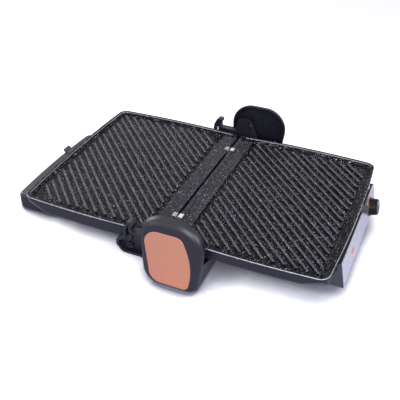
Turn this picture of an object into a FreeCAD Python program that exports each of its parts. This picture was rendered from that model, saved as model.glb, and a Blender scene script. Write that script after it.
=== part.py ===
import FreeCAD, Part
import math
import os
from types import SimpleNamespace

import Sketcher

# Driving sizes in millimetres. Reaches are measured along X from the hinge axis,
# drops down from the plate rims, rises up from them, and places along Y from the middle.
SIZES = {
    # Whole object
    "rim_height": 66.0,
    "hinge_rise": 6.0,
    "half_gap": 2.0,
    "overrun": 5.0,
    "fit_clearance": 0.02,
    "seat_clearance": 0.3,
    "slide_clearance": 0.3,
    # Cooking plates
    "plate_length": 222.0,
    "plate_width": 290.0,
    "front_bow": 5.0,
    "side_bow": 4.0,
    "front_corner_radius": 14.0,
    "rear_corner_radius": 9.0,
    "flange_thickness": 2.0,
    "rim_top_width": 4.6,
    "rim_round": 0.8,
    "dish_depth": 5.5,
    "plate_floor": 3.0,
    "dish_chamfer": 3.0,
    "wall_slope": 4.0,
    "band_width": 24.0,
    "band_drop": 2.5,
    "ridge_pitch": 15.0,
    "ridge_width": 4.0,
    "ridge_height": 3.0,
    "ridge_round": 1.2,
    "ridge_margin": 8.0,
    "ridge_shortest": 12.0,
    # Trays
    "tray_inset": 0.4,
    "tray_wall": 2.0,
    "tray_floor": 2.0,
    "base_tray_round": 8.0,
    "lid_tray_round": 8.0,
    "bow_run": 51.0,
    "bow_side": 17.6,
    "base_bow_lip": 2.0,
    "lid_bow_lip": 6.0,
    "base_hinge_depth": 21.5,
    "base_front_depth": 19.5,
    "lid_hinge_depth": 25.0,
    "lid_front_depth": 23.5,
    "window_rear_inset": 34.0,
    "window_front_inset": 24.0,
    "window_side_inset": 53.0,
    # Heating
    "heater_radius": 3.25,
    "heater_gap": 0.1,
    "heater_end_inset": 16.0,
    "heater_side_inset": 17.0,
    "clamp_width": 8.0,
    "clamp_thickness": 3.0,
    "reflector_sheet": 1.0,
    "reflector_lip": 6.0,
    "reflector_inset": 6.0,
    "post_radius": 4.0,
    "fuse_radius": 2.5,
    "fuse_length": 16.0,
    # Base housing
    "shell_rear": 22.0,
    "shell_inset": 44.0,
    "shell_wall": 2.2,
    "shell_drop": 44.0,
    "shell_round": 8.0,
    "boss_radius": 5.0,
    "boss_height": 9.0,
    "cover_thickness": 2.0,
    "vent_width": 3.0,
    "vent_pitch": 9.0,
    "panel_gap": 2.5,
    "panel_top_drop": 8.0,
    "panel_lean": 7.0,
    "panel_thickness": 1.0,
    "frame_thickness": 3.0,
    # Controls
    "knob_inset": 31.5,
    "knob_depth": 12.74,
    "knob_radius": 13.0,
    "knob_round": 2.0,
    "knob_standoff": 1.8,
    "knob_socket": 8.0,
    "pointer_width": 1.6,
    "pointer_depth": 0.8,
    "bezel_margin": 1.2,
    "bezel_thickness": 1.2,
    "bezel_width": 3.0,
    "shaft_radius": 3.0,
    "shaft_hole_clearance": 0.4,
    "thermostat_width": 26.0,
    "thermostat_height": 13.0,
    "thermostat_depth": 12.0,
    "thermostat_bore": 9.0,
    "bore_clearance": 0.05,
    "lens_inset": 54.5,
    "lens_length": 16.0,
    "lens_width": 5.0,
    "lens_proud": 0.8,
    "lamp_radius": 2.4,
    "lamp_length": 12.0,
    "terminal_length": 30.0,
    "terminal_width": 16.0,
    "terminal_height": 9.0,
    "terminal_hole": 2.0,
    "terminal_setback": 40.0,
    "gland_radius": 3.2,
    "gland_bore": 2.4,
    "gland_flange": 3.6,
    "gland_flange_thickness": 1.6,
    "gland_tail": 6.0,
    "gland_reach": 105.0,
    # Hinge covers with their legs
    "cap_gap": 2.0,
    "cap_depth": 13.0,
    "cap_face_wall": 3.0,
    "cap_wall": 3.4,
    "cap_round": 11.0,
    "cap_top": 47.0,
    "cap_bottom": 65.0,
    "cap_rear_top": 21.0,
    "cap_front_top": 76.0,
    "cap_front_bottom": 60.0,
    "cap_rear_bottom": 18.0,
    "cap_rear_top_radius": 34.0,
    "cap_front_top_radius": 36.0,
    "cap_front_bottom_radius": 14.0,
    "cap_rear_bottom_radius": 26.0,
    "badge_depth": 0.6,
    "badge_proud": 0.5,
    "badge_rear_top": 12.0,
    "badge_front_top": 42.3,
    "badge_front_bottom": 49.6,
    "badge_rear_bottom": 4.6,
    "badge_top": 29.4,
    "badge_bottom": 56.0,
    "badge_bulge": 60.0,
    "badge_bulge_drop": 12.5,
    "badge_tight_radius": 9.0,
    "badge_top_radius": 12.0,
    "badge_rear_radius": 21.0,
    "badge_wide_radius": 16.0,
    "badge_bulge_radius": 106.0,
    "leg_overlap": 16.0,
    "leg_rear": 8.0,
    "leg_wall": 2.5,
    "leg_round": 6.0,
    "leg_boss_radius": 8.0,
    "gusset_drop": 27.0,
    "gusset_length": 51.0,
    "pad_radius": 7.5,
    "pad_thickness": 2.0,
    "foot_radius": 12.0,
    "foot_tip_radius": 10.0,
    "foot_setback": 41.5,
    "foot_inset": 31.0,
    # Hinge
    "bracket_gap": 3.0,
    "bracket_sheet": 3.0,
    "bracket_width": 30.0,
    "bracket_head_radius": 15.0,
    "pin_radius": 5.0,
    "pin_head_radius": 8.0,
    "pin_head_thickness": 2.2,
    "bush_radius": 8.0,
    "bush_flange_radius": 11.0,
    "cap_boss_radius": 4.5,
    "pillar_radius": 2.4,
    "fin_thickness": 1.6,
    "screw_radius": 1.7,
    "screw_head_radius": 3.4,
    "screw_head_thickness": 1.8,
    "screw_length": 7.0,
    "recess_length": 3.6,
    "recess_width": 0.9,
    "recess_depth": 1.0,
    "leg_screw_length": 9.0,
    # Arms
    "arm_gap": 1.5,
    "arm_depth": 10.5,
    "arm_web": 3.0,
    "arm_wall": 4.0,
    "arm_reach": 63.0,
    "arm_drop": 36.0,
    "arm_round": 6.0,
    "hub_wall": 3.5,
    "ring_radius": 4.5,
    "ring_bore": 2.0,
    "ring_height": 4.0,
    "slot_reach": 44.3,
    "slot_width": 4.6,
    "slot_drop": 15.0,
    "slider_height": 8.0,
    "slider_head": 1.5,
    "slider_head_thickness": 2.0,
    "float_travel": 10.5,
    # Clips and latches
    "clip_inset": 48.0,
    "clip_width": 9.0,
    "clip_length": 5.5,
    "clip_sheet": 0.8,
    "clip_leg": 13.0,
    "clip_sink": 0.2,
    "latch_width": 14.0,
    "latch_thickness": 3.6,
    "latch_catch": 1.0,
    "latch_edge": 1.6,
    "base_latch_overhang": 9.5,
    "base_latch_run": 2.0,
    "base_latch_rise": 1.5,
    "base_latch_place": 27.0,
    "lid_latch_overhang": 14.0,
    "lid_latch_run": 4.3,
    "lid_latch_rise": 4.3,
    "lid_latch_place": -8.0,
    # Lid cover and handle
    "lid_cover_inset": 9.0,
    "lid_cover_drop": 49.0,
    "lid_cover_wall": 2.4,
    "lid_cover_slope": 30.0,
    "lid_cover_corner": 26.0,
    "lid_cover_round": 9.0,
    "handle_overhang": 49.5,
    "handle_inset": 42.0,
    "handle_bow": 4.0,
    "handle_corner": 10.0,
    "handle_top_drop": 38.0,
    "handle_bottom_drop": 65.0,
    "handle_root_inset": 33.0,
    "handle_root_slope": 18.0,
    "handle_round": 4.5,
    "handle_wall": 3.0,
    "trim_thickness": 1.6,
    "trim_inset": 5.0,
    "trim_margin": 9.0,
    "trim_ledge": 2.0,
    "lid_pad_inset": 33.0,
}

# Arm outline as shares: along the arm's reach, up or down its drop, and of its corner radius
ARM_OUTLINE_SHARES = [
    (0.349, -0.222, 0.667),
    (0.167, 0.333, 1.5),
    (0.143, 0.678, 1.17),
    (-0.127, 0.678, 1.33),
    (-0.183, 0.0917, 0.833),
    (-0.606, 0.0917, 0.2),
    (-0.606, 0.306, 0.25),
    (-0.552, 0.403, 0.167),
    (-0.597, 0.533, 0.333),
    (-0.706, 0.5, 0.5),
    (-0.786, 0.222, 0.667),
    (-0.817, -0.222, 0.6),
    (-1, -0.417, 1),
    (-1, -0.722, 1.2),
    (-0.851, -1, 1.4),
    (-0.1, -1, 1.4),
]

doc = FreeCAD.newDocument("contact_grill")
sheet = doc.addObject("Spreadsheet::Sheet", "sizes")
nodes = {}


class Size:
    """A length that is a number and the spreadsheet formula that it comes from."""

    def __init__(self, value, text):
        self.value = value
        self.text = text

    def __float__(self):
        return self.value

    def __neg__(self):
        return Size(-self.value, f"(0 - {self.text})")

    def __add__(self, other):
        return Size(self.value + float(other), f"({self.text} + {formula(other)})")

    def __radd__(self, other):
        return Size(float(other) + self.value, f"({formula(other)} + {self.text})")

    def __sub__(self, other):
        return Size(self.value - float(other), f"({self.text} - {formula(other)})")

    def __rsub__(self, other):
        return Size(float(other) - self.value, f"({formula(other)} - {self.text})")

    def __mul__(self, other):
        return Size(self.value * float(other), f"({self.text} * {formula(other)})")

    __rmul__ = __mul__

    def __truediv__(self, other):
        return Size(self.value / float(other), f"({self.text} / {formula(other)})")


def formula(value):
    """Spreadsheet text of a size or of a plain number."""
    return value.text if isinstance(value, Size) else repr(float(value))


def fill_sheet():
    """Write every driving size to the sheet and return them as named sizes."""
    for row, (alias, value) in enumerate(SIZES.items(), 1):
        sheet.set(f"A{row}", alias)
        sheet.set(f"B{row}", str(value))
        sheet.setAlias(f"B{row}", alias)
    doc.recompute()
    return SimpleNamespace(**{alias: Size(value, f"sizes.{alias}") for alias, value in SIZES.items()})


d = fill_sheet()

# Places that several pieces share, in the frame whose origin lies under the middle of the object
rim = d.rim_height
axis_height = rim + d.hinge_rise
flange_overhang = d.tray_inset + d.tray_wall + d.seat_clearance
front_edge = d.half_gap + d.plate_length
plate_front = front_edge + d.front_bow
plate_half = d.plate_width / 2
plate_under = rim - d.dish_depth - d.plate_floor
heater_height = plate_under - d.heater_gap - d.heater_radius
clamp_top = heater_height - d.heater_radius
reflector_top = clamp_top - d.clamp_thickness
window_half = plate_half - d.window_side_inset
heater_lane = (window_half - d.heater_side_inset) * 2 / 3
clip_place = plate_half - d.clip_inset
# Housing, panel and controls
shell_floor = rim - d.shell_drop
shell_half = plate_half - d.shell_inset
panel_half = shell_half - d.shell_wall - d.seat_clearance
panel_top_reach = plate_front + d.panel_gap
panel_middle_reach = panel_top_reach + d.panel_lean / 2
panel_slant = math.hypot(d.shell_drop - d.panel_top_drop, d.panel_lean)
panel_tilt = math.asin(float(d.panel_lean) / panel_slant)
knob_place = panel_half - d.knob_inset
lens_place = panel_half - d.lens_inset
knob_end = (d.knob_depth + d.pointer_depth / 2) * math.cos(panel_tilt)
knob_reach = panel_middle_reach + d.knob_radius * 3 / 4 * math.sin(panel_tilt) + knob_end
# Handle, and the hinge that lies midway between the handle's and the knob's ends
handle_half = plate_half - d.handle_inset
handle_reach = plate_front + d.handle_overhang
handle_root = plate_front - d.handle_root_inset
trim_inner_reach = plate_front - d.trim_inset
hinge = (handle_reach - knob_reach) / 2
# Arms, hinge brackets and covers, from the plates outwards
arm_inner = plate_half + d.side_bow + d.arm_gap
arm_outer = arm_inner + d.arm_depth
bracket_inner = arm_outer + d.bracket_gap
bracket_outer = bracket_inner + d.bracket_sheet
cap_inner = arm_outer + d.cap_gap
cap_face = cap_inner + d.cap_depth
leg_inner = shell_half - d.leg_overlap
leg_screw_place = leg_inner + d.leg_overlap / 2
leg_pad_place = (leg_inner + cap_inner) / 2


# Document helpers
def bind(obj, prop, value):
    obj.setExpression(prop, formula(value))


def place(obj, corner):
    for axis, value in zip("xyz", corner):
        bind(obj, "Placement.Base." + axis, value)


def block(name, corner, edges):
    """Box between a corner and the edge lengths along X, Y and Z."""
    box = doc.addObject("Part::Box", name)
    for prop, value in zip(("Length", "Width", "Height"), edges):
        bind(box, prop, value)
    place(box, corner)
    return box


AXIS_TURNS = {
    "x": FreeCAD.Rotation(FreeCAD.Vector(0, 1, 0), 90),
    "y": FreeCAD.Rotation(FreeCAD.Vector(1, 0, 0), -90),
    "z": FreeCAD.Rotation(),
}


def rod(name, start, axis, radius, length):
    """Cylinder that starts at a point and runs along a positive axis."""
    cylinder = doc.addObject("Part::Cylinder", name)
    bind(cylinder, "Radius", radius)
    bind(cylinder, "Height", length)
    cylinder.Placement = FreeCAD.Placement(FreeCAD.Vector(), AXIS_TURNS[axis])
    place(cylinder, start)
    return cylinder


def cone(name, start, low_radius, high_radius, length):
    body = doc.addObject("Part::Cone", name)
    bind(body, "Radius1", low_radius)
    bind(body, "Radius2", high_radius)
    bind(body, "Height", length)
    place(body, start)
    return body


def join(name, pieces):
    fused = doc.addObject("Part::MultiFuse", name)
    fused.Shapes = pieces
    return fused


def cut(name, base, tools):
    result = doc.addObject("Part::Cut", name)
    result.Base = base
    result.Tool = tools[0] if len(tools) == 1 else join(name + "_tools", tools)
    return result


def group(name, pieces):
    """Several separate solids that share one node."""
    compound = doc.addObject("Part::Compound", name)
    compound.Links = pieces
    return compound


def feature(name, shape):
    body = doc.addObject("Part::Feature", name)
    body.Shape = shape
    return body


def mirrored(name, source, across):
    """Copy of an object across the hinge plane (x) or the middle plane (y)."""
    copy = doc.addObject("Part::Mirroring", name)
    copy.Source = source
    copy.Normal = FreeCAD.Vector(1, 0, 0) if across == "x" else FreeCAD.Vector(0, 1, 0)
    if across == "x":
        bind(copy, "Base.x", hinge)
    return copy


def node(name, obj):
    obj.Label = name
    nodes[name] = obj
    return obj


def pair(kind, far):
    """File a far-side piece and its twin on the near side."""
    node("far_" + kind, far)
    node("near_" + kind, mirrored("near_" + kind, far, "y"))


def origin_plane(body, role):
    return next(item for item in body.Origin.OriginFeatures if item.Role == role)


def polygon_sketch(body, role, corners):
    """Closed sketch whose corner places are sizes, on one of the body's own planes."""
    sketch = body.newObject("Sketcher::SketchObject", body.Name + "_sketch")
    sketch.AttachmentSupport = (origin_plane(body, role), [""])
    sketch.MapMode = "FlatFace"
    points = [FreeCAD.Vector(u, v, 0) for u, v in corners]
    count = len(points)
    for index, start in enumerate(points):
        sketch.addGeometry(Part.LineSegment(start, points[(index + 1) % count]))
    for index in range(count):
        sketch.addConstraint(Sketcher.Constraint("Coincident", index, 2, (index + 1) % count, 1))
    for index, corner in enumerate(corners):
        for kind, value, axis in zip(("DistanceX", "DistanceY"), corner, (-2, -1)):
            if float(value) == 0:
                sketch.addConstraint(Sketcher.Constraint("PointOnObject", index, 1, axis))
                continue
            number = sketch.addConstraint(Sketcher.Constraint(kind, -1, 1, index, 1, float(value)))
            sketch.setExpression(f"Constraints[{number}]", formula(value))
    return sketch


def padded(name, role, corners, length, start):
    """Body made by padding a polygon; start moves the body along the pad."""
    body = doc.addObject("PartDesign::Body", name)
    pad = body.newObject("PartDesign::Pad", name + "_pad")
    pad.Profile = polygon_sketch(body, role, corners)
    bind(pad, "Length", length)
    bind(body, "Placement.Base." + {"XY_Plane": "z", "XZ_Plane": "y", "YZ_Plane": "x"}[role], start)
    doc.recompute()
    return body


def turned(name, corners):
    """Body made by turning a half profile, given as radius and height, about Z."""
    body = doc.addObject("PartDesign::Body", name)
    revolution = body.newObject("PartDesign::Revolution", name + "_turn")
    sketch = polygon_sketch(body, "XZ_Plane", corners)
    revolution.Profile = sketch
    revolution.ReferenceAxis = (sketch, ["V_Axis"])
    revolution.Angle = 360
    doc.recompute()
    return body


# Shape helpers
def point(x, y, z):
    return FreeCAD.Vector(x, y, z)


def upright_edges(shape):
    """Straight edges that run along Z."""
    return [edge for edge in shape.Edges if abs(edge.tangentAt(edge.FirstParameter).z) > 0.999]


def level_edges(shape, height):
    """Edges that lie at one height."""
    near = float(d.fit_clearance)
    return [e for e in shape.Edges if max(abs(v.Z - float(height)) for v in e.Vertexes) < near
            and abs(e.CenterOfMass.z - float(height)) < near]


# Part of a side that two roundings may fill together where they meet
ROUND_FIT_SHARE = 0.98


def rounded_face(corners):
    """Flat face through corner points, each rounded to its own radius or left sharp at zero.

    Where two roundings need more than the side between them, both are drawn in to fit it.
    """
    count = len(corners)
    bends = []
    for index, (corner, radius) in enumerate(corners):
        back = (corners[index - 1][0] - corner).normalize()
        ahead = (corners[(index + 1) % count][0] - corner).normalize()
        half_angle = back.getAngle(ahead) / 2
        bends.append([corner, back, ahead, half_angle, float(radius), 1.0])
    for index, bend in enumerate(bends):
        before = bends[index - 1]
        side = (bend[0] - before[0]).Length
        need = bend[4] / math.tan(bend[3]) + before[4] / math.tan(before[3])
        if need > side:
            bend[5] = min(bend[5], side / need * ROUND_FIT_SHARE)
            before[5] = min(before[5], side / need * ROUND_FIT_SHARE)
    arcs = []
    for corner, back, ahead, half_angle, radius, share in bends:
        radius = radius * share
        inward = (back + ahead).normalize()
        centre = corner + inward * (radius / math.sin(half_angle))
        setback = radius / math.tan(half_angle)
        arcs.append((corner + back * setback, centre - inward * radius, corner + ahead * setback))
    edges = []
    for index, (start, middle, end) in enumerate(arcs):
        edges.append(Part.LineSegment(arcs[index - 1][2], start).toShape())
        if start != end:
            edges.append(Part.Arc(start, middle, end).toShape())
    return Part.Face(Part.Wire(edges))


def rectangle(low_x, high_x, half, height, radius):
    """Rounded level rectangle, even about the middle plane."""
    return rounded_face([
        (point(low_x, -half, height), radius),
        (point(high_x, -half, height), radius),
        (point(high_x, half, height), radius),
        (point(low_x, half, height), radius),
    ])


def plan_prism(inset, low, high):
    """Solid with the plate's bowed plan, drawn in by inset, between two heights."""
    near = hinge + d.half_gap + inset
    far = hinge + front_edge - inset
    half = plate_half - inset
    middle = (near + far) / 2
    corners = [point(near, -half, low), point(far, -half, low), point(far, half, low), point(near, half, low)]
    bows = [
        point(middle, -half - d.side_bow, low),
        point(far + d.front_bow, 0, low),
        point(middle, half + d.side_bow, low),
    ]
    edges = [Part.Arc(corners[i], bows[i], corners[i + 1]).toShape() for i in range(len(bows))]
    edges.append(Part.LineSegment(corners[-1], corners[0]).toShape())
    solid = Part.Face(Part.Wire(edges)).extrude(point(0, 0, high - low))
    front = [edge for edge in upright_edges(solid) if edge.CenterOfMass.x > float(middle)]
    solid = solid.makeFillet(float(d.front_corner_radius - inset), front)
    rear = [edge for edge in upright_edges(solid) if edge.CenterOfMass.x < float(middle)]
    return solid.makeFillet(float(d.rear_corner_radius - inset), rear)


def floor_height(depth_hinge, depth_front, reach):
    """Height of a tray's sloping underside at a distance from the hinge."""
    run = d.plate_length + d.front_bow
    return rim - depth_hinge + (depth_hinge - depth_front) * ((float(reach) - float(d.half_gap)) / float(run))


def below_floor(depth_hinge, depth_front, lift):
    """Everything under a tray's sloping underside, raised by lift."""
    reaches = (d.half_gap - d.overrun, front_edge + d.front_bow + d.overrun)
    tops = [point(hinge + r, -d.plate_width, floor_height(depth_hinge, depth_front, r) + lift) for r in reaches]
    lows = [point(hinge + r, -d.plate_width, -d.overrun) for r in reaches]
    profile = Part.makePolygon([tops[0], tops[1], lows[1], lows[0], tops[0]])
    return Part.Face(profile).extrude(point(0, d.plate_width * 2, 0))


def corner_cuts(depth, lip, lift):
    """Slanting cuts that take off a tray's lower front corners, drawn in by lift."""
    size = float(d.plate_width)
    cuts = []
    for sign in (-1, 1):
        corner = point(hinge + plate_front, (plate_half + d.side_bow / 2) * sign, rim - depth)
        peak = point(0, 0, depth + lip)
        outward = (point(-d.bow_run, 0, 0) - peak).cross(point(0, -d.bow_side * sign, 0) - peak)
        slab = Part.makeBox(size * 2, size * 2, size, FreeCAD.Vector(-size, -size, -float(lift)))
        turn = FreeCAD.Rotation(FreeCAD.Vector(0, 0, 1), outward * (-1 if outward.z > 0 else 1))
        slab.Placement = FreeCAD.Placement(corner + peak, turn)
        cuts.append(slab)
    return cuts


def tray_solid(inset, depth_hinge, depth_front, lip, lift, top, rounding):
    """Tray envelope with a sloping, rounded underside."""
    solid = plan_prism(inset, rim - depth_hinge - d.overrun, top)
    under = below_floor(depth_hinge, depth_front, lift)
    solid = solid.cut(under)

    def on_floor(spot):
        return abs(spot.z - float(floor_height(depth_hinge, depth_front, spot.x - float(hinge)) + lift)) < near

    near = float(d.fit_clearance)
    edges = [e for e in solid.Edges if on_floor(e.CenterOfMass) and all(on_floor(v.Point) for v in e.Vertexes)]
    return solid.makeFillet(float(rounding), edges).cut(corner_cuts(depth_front, lip, lift))


# Cooking plates
def ridge(start, end):
    """One raised bar with round ends and a rounded top on the plate's floor."""
    along = (end - start).normalize() * float(d.ridge_width / 2)
    across = FreeCAD.Vector(-along.y, along.x, 0)
    edges = [
        Part.LineSegment(start + across, end + across).toShape(),
        Part.Arc(end + across, end + along, end - across).toShape(),
        Part.LineSegment(end - across, start - across).toShape(),
        Part.Arc(start - across, start - along, start + across).toShape(),
    ]
    bar = Part.Face(Part.Wire(edges)).extrude(point(0, 0, d.ridge_height + d.plate_floor / 2))
    return bar.makeFillet(float(d.ridge_round), level_edges(bar, start.z + d.ridge_height + d.plate_floor / 2))


def ridges(side):
    """Diagonal ridges of one plate; they lean the same way on both plates."""
    reaches = (d.half_gap + d.band_width + d.ridge_margin, front_edge - d.rim_top_width - d.ridge_margin)
    low, high = sorted(float(hinge) + side * float(reach) for reach in reaches)
    half = float(d.plate_width / 2 - d.rim_top_width - d.ridge_margin)
    height = float(rim - d.dish_depth - d.plate_floor / 2)
    middle = (low + high) / 2
    pitch = float(d.ridge_pitch)
    count = int(((high - low) / 2 + half) / pitch)
    bars = []
    for step in range(-count, count + 1):
        line = middle + step * pitch
        start = max(low, line - half)
        end = min(high, line + half)
        if end - start > float(d.ridge_shortest):
            bars.append(ridge(point(start, line - start, height), point(end, line - end, height)))
    return bars


def plate_blank(latch_place):
    """Plate of the base side without its ridges: rim, dish, hinge band, notches and latch groove."""
    flange = plan_prism(0, rim - d.flange_thickness, rim)
    flange = flange.makeFillet(float(d.rim_round), level_edges(flange, rim))
    dish = plan_prism(flange_overhang, plate_under, rim - d.flange_thickness)
    dish = dish.makeChamfer(float(d.dish_chamfer), level_edges(dish, plate_under))
    cavity = plan_prism(d.rim_top_width, rim - d.dish_depth, rim + d.overrun)
    cavity = cavity.makeChamfer(float(d.wall_slope), level_edges(cavity, rim - d.dish_depth))
    band = Part.makeBox(d.half_gap + d.band_width, d.plate_width * 2, d.dish_depth - d.band_drop,
                        point(hinge, -d.plate_width, rim - d.dish_depth))
    blank = flange.fuse(dish).cut(cavity.cut(band))
    notch_size = (d.clip_length + d.half_gap + d.seat_clearance, d.clip_width + d.seat_clearance * 2,
                  d.clip_sheet + d.clip_sink + d.overrun)
    for sign in (-1, 1):
        corner = point(hinge, clip_place * sign - notch_size[1] / 2, rim - d.clip_sheet - d.clip_sink)
        blank = blank.cut(Part.makeBox(*notch_size, corner))
        edge_low = point(hinge, clip_place * sign - notch_size[1] / 2, plate_under)
        blank = blank.cut(Part.makeBox(d.half_gap + d.tray_inset, notch_size[1], rim, edge_low))
    groove = Part.makeBox(d.latch_catch + d.seat_clearance + d.overrun, d.latch_width + d.seat_clearance * 2,
                          d.latch_thickness + d.seat_clearance,
                          point(hinge + latch_end(latch_place) - d.seat_clearance,
                                latch_place - d.latch_width / 2 - d.seat_clearance,
                                rim - d.flange_thickness - d.seat_clearance - d.latch_thickness))
    return blank.cut(groove)


def front_reach(inset, place_y):
    """How far the bowed front edge reaches at a place across the plate."""
    half = float(d.plate_width) / 2
    return front_edge - inset + d.front_bow * (1 - (float(place_y) / half) ** 2)


def latch_end(place_y):
    """Where a latch's inner end stands inside the plate's skirt."""
    return front_reach(flange_overhang, place_y) - d.latch_catch


def make_plates():
    base = plate_blank(d.base_latch_place).multiFuse(ridges(1)).removeSplitter()
    node("base_plate", feature("base_plate", base))
    blank = plate_blank(d.lid_latch_place).mirror(point(hinge, 0, 0), point(1, 0, 0))
    lid = blank.multiFuse(ridges(-1)).removeSplitter()
    node("lid_plate", feature("lid_plate", lid))


# Trays
def tray(depth_hinge, depth_front, lip, rounding, latch_place):
    """Casing half that a plate sits in, drawn on the base side."""
    top = rim - d.flange_thickness
    outer = tray_solid(d.tray_inset, depth_hinge, depth_front, lip, 0, top, rounding)
    inner = tray_solid(d.tray_inset + d.tray_wall, depth_hinge, depth_front, lip, d.tray_floor,
                       top + d.overrun, rounding - d.tray_wall)
    window = Part.makeBox(d.plate_length - d.window_rear_inset - d.window_front_inset, window_half * 2, rim,
                          point(hinge + d.half_gap + d.window_rear_inset, -window_half, 0))
    slot = Part.makeBox(d.tray_wall + d.overrun * 2, d.latch_width + d.slide_clearance * 2,
                        d.latch_thickness + d.slide_clearance * 2,
                        point(hinge + front_reach(d.tray_inset + d.tray_wall, latch_place) - d.overrun,
                              latch_place - d.latch_width / 2 - d.slide_clearance,
                              top - d.seat_clearance - d.latch_thickness - d.slide_clearance))
    return outer.cut(inner).cut(window).cut(slot)


def make_trays():
    base = tray(d.base_hinge_depth, d.base_front_depth, d.base_bow_lip, d.base_tray_round, d.base_latch_place)
    node("base_tray", feature("base_tray", base))
    lid = tray(d.lid_hinge_depth, d.lid_front_depth, d.lid_bow_lip, d.lid_tray_round, d.lid_latch_place)
    node("lid_tray", mirrored("lid_tray", feature("lid_tray_form", lid), "x"))


# Heating, alike in both halves
heat_rear = d.half_gap + d.window_rear_inset + d.heater_end_inset
heat_front = front_edge - d.window_front_inset - d.heater_end_inset
POST_SHARES = (0.15, 0.85)


def heater_form():
    """Tube that runs back and forth in four lanes under a plate."""
    lane = heater_lane
    bend = lane / 2
    rear = hinge + heat_rear + bend
    front = hinge + heat_front - bend
    ys = [lane * (index - 1.5) for index in range(4)]
    edges = []
    for index, y in enumerate(ys):
        ends = (rear, front) if index % 2 == 0 else (front, rear)
        start, end = (point(x, y, heater_height) for x in ends)
        edges.append(Part.LineSegment(start, end).toShape())
        if index < len(ys) - 1:
            out = bend if index % 2 == 0 else -bend
            edges.append(Part.Arc(end, point(ends[1] + out, y + bend, heater_height),
                                  point(ends[1], ys[index + 1], heater_height)).toShape())
    path = Part.Wire(edges)
    circle = Part.Wire(Part.makeCircle(d.heater_radius, point(rear, ys[0], heater_height), point(1, 0, 0)))
    return path.makePipeShell([circle], True, False)


def clamp_form(name):
    """Two bars across the lanes that hold the heater up from the reflector."""
    length = heater_lane * 3 + d.clamp_width
    bars = []
    for index, share in enumerate((0.3, 0.7)):
        x = hinge + heat_rear + (heat_front - heat_rear) * share - d.clamp_width / 2
        edges = (d.clamp_width, length, d.clamp_thickness)
        bars.append(block(f"{name}_{index}", (x, -length / 2, reflector_top), edges))
    return group(name, bars)


def post_places():
    """Spots of the posts under a reflector, between the heater's lanes."""
    run = heat_front - heat_rear
    reaches = [heat_rear + run * share for share in POST_SHARES]
    return [(hinge + reach, heater_lane * sign) for reach in reaches for sign in (-1, 1)]


def reflector_form(name):
    """Sheet pan that throws the heat back at the plate."""
    inset = d.reflector_inset
    low = hinge + d.half_gap + d.window_rear_inset + inset
    length = d.plate_length - d.window_rear_inset - d.window_front_inset - inset * 2
    half = window_half - inset
    sheet_low = reflector_top - d.reflector_sheet
    outer = block(name + "_outer", (low, -half, sheet_low), (length, half * 2, d.reflector_lip))
    inner = block(name + "_inner", (low + d.reflector_sheet, -half + d.reflector_sheet, reflector_top),
                  (length - d.reflector_sheet * 2, (half - d.reflector_sheet) * 2, d.reflector_lip))
    return cut(name, outer, [inner])


def fuse_form(name):
    """Thermal fuse lying on the reflector between two lanes."""
    start = (hinge + (heat_rear + heat_front) / 2, -d.fuse_length / 2, reflector_top + d.fuse_radius)
    return rod(name, start, "y", d.fuse_radius, d.fuse_length)


def make_heating():
    heater = feature("base_heater", heater_form())
    forms = {
        "heater": heater,
        "heater_clamps": clamp_form("base_heater_clamps"),
        "reflector": reflector_form("base_reflector"),
        "fuse": fuse_form("base_fuse"),
    }
    for kind, form in forms.items():
        node("base_" + kind, form)
        node("lid_" + kind, mirrored("lid_" + kind, form, "x"))


# Clips that hold the plates at the hinge edge
def make_clips():
    clips = []
    for sign in (-1, 1):
        y = clip_place * sign - d.clip_width / 2
        back = hinge + d.half_gap + d.tray_inset - d.clip_sheet
        top = rim - d.clip_sink
        profile = [
            (back, top),
            (hinge + d.half_gap + d.clip_length, top),
            (hinge + d.half_gap + d.clip_length, top - d.clip_sheet),
            (back + d.clip_sheet, top - d.clip_sheet),
            (back + d.clip_sheet, top - d.clip_leg),
            (back, top - d.clip_leg),
        ]
        clips.append(padded(f"clip_{sign + 1}", "XZ_Plane", profile, d.clip_width, y + d.clip_width))
    base = group("base_plate_clips", clips)
    node("base_plate_clips", base)
    node("lid_plate_clips", mirrored("lid_plate_clips", base, "x"))


# Base housing
def panel_placement(place_y, out=0.0):
    """Frame on the panel's outer face at mid height: x across, y up the panel, z outwards."""
    lean = panel_tilt
    outwards = FreeCAD.Vector(math.cos(lean), 0, math.sin(lean))
    upwards = FreeCAD.Vector(-math.sin(lean), 0, math.cos(lean))
    turn = FreeCAD.Rotation(FreeCAD.Vector(0, 1, 0), upwards, outwards, "XYZ")
    middle = point(hinge + panel_middle_reach, place_y, rim - (d.panel_top_drop + d.shell_drop) / 2)
    return FreeCAD.Placement(middle + outwards * float(out), turn)


def shell_prism(inset, low, high):
    """Housing plan with rounded rear corners, cut off along the leaning panel."""
    front = panel_top_reach + d.panel_lean + d.overrun
    face = rounded_face([
        (point(hinge + d.shell_rear + inset, -shell_half + inset, low), d.shell_round - inset),
        (point(hinge + front, -shell_half + inset, low), 0),
        (point(hinge + front, shell_half - inset, low), 0),
        (point(hinge + d.shell_rear + inset, shell_half - inset, low), d.shell_round - inset),
    ])
    return face.extrude(point(0, 0, high - low))


def beyond_panel():
    """Everything outside the panel's outer face."""
    reach = float(shell_half * 2)
    slab = Part.makeBox(reach * 2, reach * 2, reach, FreeCAD.Vector(-reach, -reach, 0))
    slab.Placement = panel_placement(0)
    return slab


def base_tray_room(gap):
    """Space that the base tray takes, with a side gap, open upwards."""
    room = plan_prism(d.tray_inset - gap, shell_floor, rim + d.overrun)
    return room.cut(below_floor(d.base_hinge_depth, d.base_front_depth, 0))


def cover_screw_places():
    inset = d.shell_wall + d.boss_radius
    front = panel_top_reach - d.thermostat_depth - inset
    reaches = (d.cap_front_bottom + inset, front)
    return [(hinge + reach, (shell_half - inset) * sign) for reach in reaches for sign in (-1, 1)]


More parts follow.
